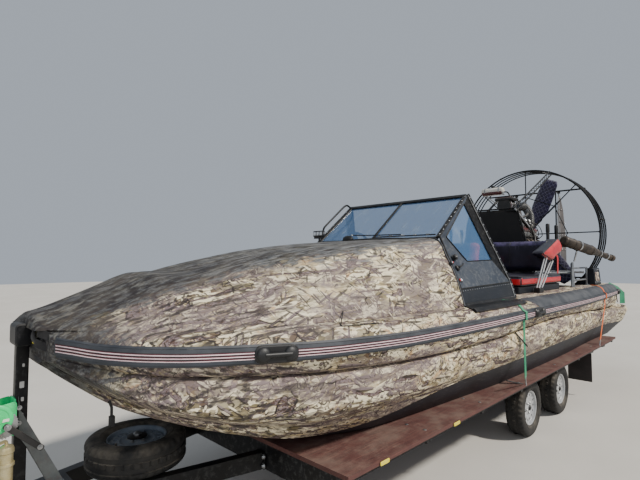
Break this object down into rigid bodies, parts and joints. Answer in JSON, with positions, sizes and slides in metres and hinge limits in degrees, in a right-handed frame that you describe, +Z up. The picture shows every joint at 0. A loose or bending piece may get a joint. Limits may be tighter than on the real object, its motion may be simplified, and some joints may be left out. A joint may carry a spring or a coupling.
{
  "type": "inflatable airboat hovercraft on a tandem axle trailer",
  "caption": "Open inflatable airboat hovercraft with caged air propeller, raked windscreen and camouflage cover, parked on a flat-bed tandem-axle boat trailer.",
  "frame": {"origin": "centre of the bounding box on the ground under the trailer", "axes": "+X to the bow and the trailer's coupling, +Y to port, +Z up"},
  "size_m": [9.35, 2.6138, 3.442],
  "materials": {
    "hull_rubber": "matt dark grey armour sheet on camouflage fabric",
    "camo_fabric": "coated fabric printed in a leaf and twig camouflage",
    "rail_rubber": "moulded rubbing strip with fine light stripes",
    "black_paint": "semi-gloss black paint on steel tube",
    "grey_panel": "satin dark grey sheet",
    "clear_pane": "clear acrylic pane",
    "black_plastic": "matt black panel",
    "upholstery": "black marine vinyl with red end panels",
    "bare_steel": "stainless or zinc plated tube",
    "engine_alloy": "cast alloy with a dark red and black top",
    "white_plastic": "milky white tank plastic",
    "quilted_sleeve": "dark blue quilted sleeves over the blades",
    "plywood": "film faced plywood, red brown",
    "tyre_rubber": "worn matt black tread",
    "rim_silver": "silver painted pressed steel",
    "winch_green": "bright green paint"
  },
  "bodies": {
    "craft_and_trailer": {"hull_bottom": "hull_rubber", "side_tube_port": "camo_fabric", "side_tube_starboard": "camo_fabric", "rub_rail_port": "rail_rubber", "rub_rail_starboard": "rail_rubber", "fore_cover": "camo_fabric", "cockpit_floor": "black_plastic", "windscreen_frame": "black_paint", "windscreen_pane_port": "clear_pane", "windscreen_pane_starboard": "clear_pane", "wing_panel_port": "grey_panel", "wing_panel_starboard": "grey_panel", "wing_pane_port": "clear_pane", "wing_pane_starboard": "clear_pane", "work_light": "black_plastic", "dashboard": "black_plastic", "front_seat_port": "upholstery", "front_seat_starboard": "upholstery", "bench_locker": "black_plastic", "bench_cushion": "upholstery", "bench_back": "upholstery", "engine_frame": "bare_steel", "side_rail_port": "bare_steel", "side_rail_starboard": "bare_steel", "engine": "engine_alloy", "engine_screen": "black_plastic", "drive_housing": "engine_alloy", "exhaust": "bare_steel", "header_tank": "white_plastic", "guard_front": "black_paint", "guard_barrel_port": "black_paint", "guard_barrel_starboard": "black_paint", "rudder_frame": "black_paint", "trailer_frame": "black_paint", "deck_bearers": "black_paint", "mud_flap_port": "rail_rubber", "mud_flap_starboard": "rail_rubber", "drawbar": "black_paint", "trailer_deck": "plywood", "axle_front": "black_paint", "axle_rear": "black_paint", "spare_wheel": "tyre_rubber", "jack_tube": "bare_steel", "winch_post": "black_paint", "bow_stop": "rail_rubber", "winch": "winch_green"},
    "helm_wheel": {"steering_wheel": "black_plastic"},
    "air_rudder_port": {"rudder_port": "bare_steel"},
    "air_rudder_starboard": {"rudder_starboard": "bare_steel"},
    "air_propeller": {"propeller": "quilted_sleeve"},
    "wheel_front_port": {"rim_front_port": "rim_silver", "tyre_front_port": "tyre_rubber"},
    "wheel_front_starboard": {"rim_front_starboard": "rim_silver", "tyre_front_starboard": "tyre_rubber"},
    "wheel_rear_port": {"rim_rear_port": "rim_silver", "tyre_rear_port": "tyre_rubber"},
    "wheel_rear_starboard": {"rim_rear_starboard": "rim_silver", "tyre_rear_starboard": "tyre_rubber"},
    "jack_leg": {"jack_fork": "bare_steel"},
    "jack_roller": {"jockey_wheel": "rail_rubber"}
  },
  "joints": [
    {"name": "steering", "type": "hinge", "parent": "craft_and_trailer", "child": "helm_wheel", "pos_m": [0.51374, -0.4, 2.03495], "axis": [-0.9272, 0, 0.3746], "range_deg": [-150, 150]},
    {"name": "rudder_port_swing", "type": "hinge", "parent": "craft_and_trailer", "child": "air_rudder_port", "pos_m": [-4.065, 0.36, 2.33], "axis": [0, 0, 1], "range_deg": [-30, 30]},
    {"name": "rudder_starboard_swing", "type": "hinge", "parent": "craft_and_trailer", "child": "air_rudder_starboard", "pos_m": [-4.065, -0.36, 2.33], "axis": [0, 0, 1], "range_deg": [-30, 30]},
    {"name": "propeller_spin", "type": "hinge", "parent": "craft_and_trailer", "child": "air_propeller", "pos_m": [-3.675, 0, 2.33], "axis": [1, 0, 0], "continuous": true},
    {"name": "front_port_wheel_spin", "type": "hinge", "parent": "craft_and_trailer", "child": "wheel_front_port", "pos_m": [-0.615, 0.9675, 0.298], "axis": [0, 1, 0], "continuous": true},
    {"name": "front_starboard_wheel_spin", "type": "hinge", "parent": "craft_and_trailer", "child": "wheel_front_starboard", "pos_m": [-0.615, -0.9675, 0.298], "axis": [0, 1, 0], "continuous": true},
    {"name": "rear_port_wheel_spin", "type": "hinge", "parent": "craft_and_trailer", "child": "wheel_rear_port", "pos_m": [-1.625, 0.9675, 0.298], "axis": [0, 1, 0], "continuous": true},
    {"name": "rear_starboard_wheel_spin", "type": "hinge", "parent": "craft_and_trailer", "child": "wheel_rear_starboard", "pos_m": [-1.625, -0.9675, 0.298], "axis": [0, 1, 0], "continuous": true},
    {"name": "jack_swivel", "type": "hinge", "parent": "craft_and_trailer", "child": "jack_leg", "pos_m": [3.93, 0.205, 0.3], "axis": [0, 0, 1], "continuous": true},
    {"name": "jack_roller_spin", "type": "hinge", "parent": "jack_leg", "child": "jack_roller", "pos_m": [3.885, 0.205, 0.1], "axis": [0, 1, 0], "continuous": true}
  ],
  "couplings": [
    {"joint": "rudder_port_swing", "follows": "steering", "ratio": -0.2},
    {"joint": "rudder_starboard_swing", "follows": "steering", "ratio": -0.2}
  ]
}
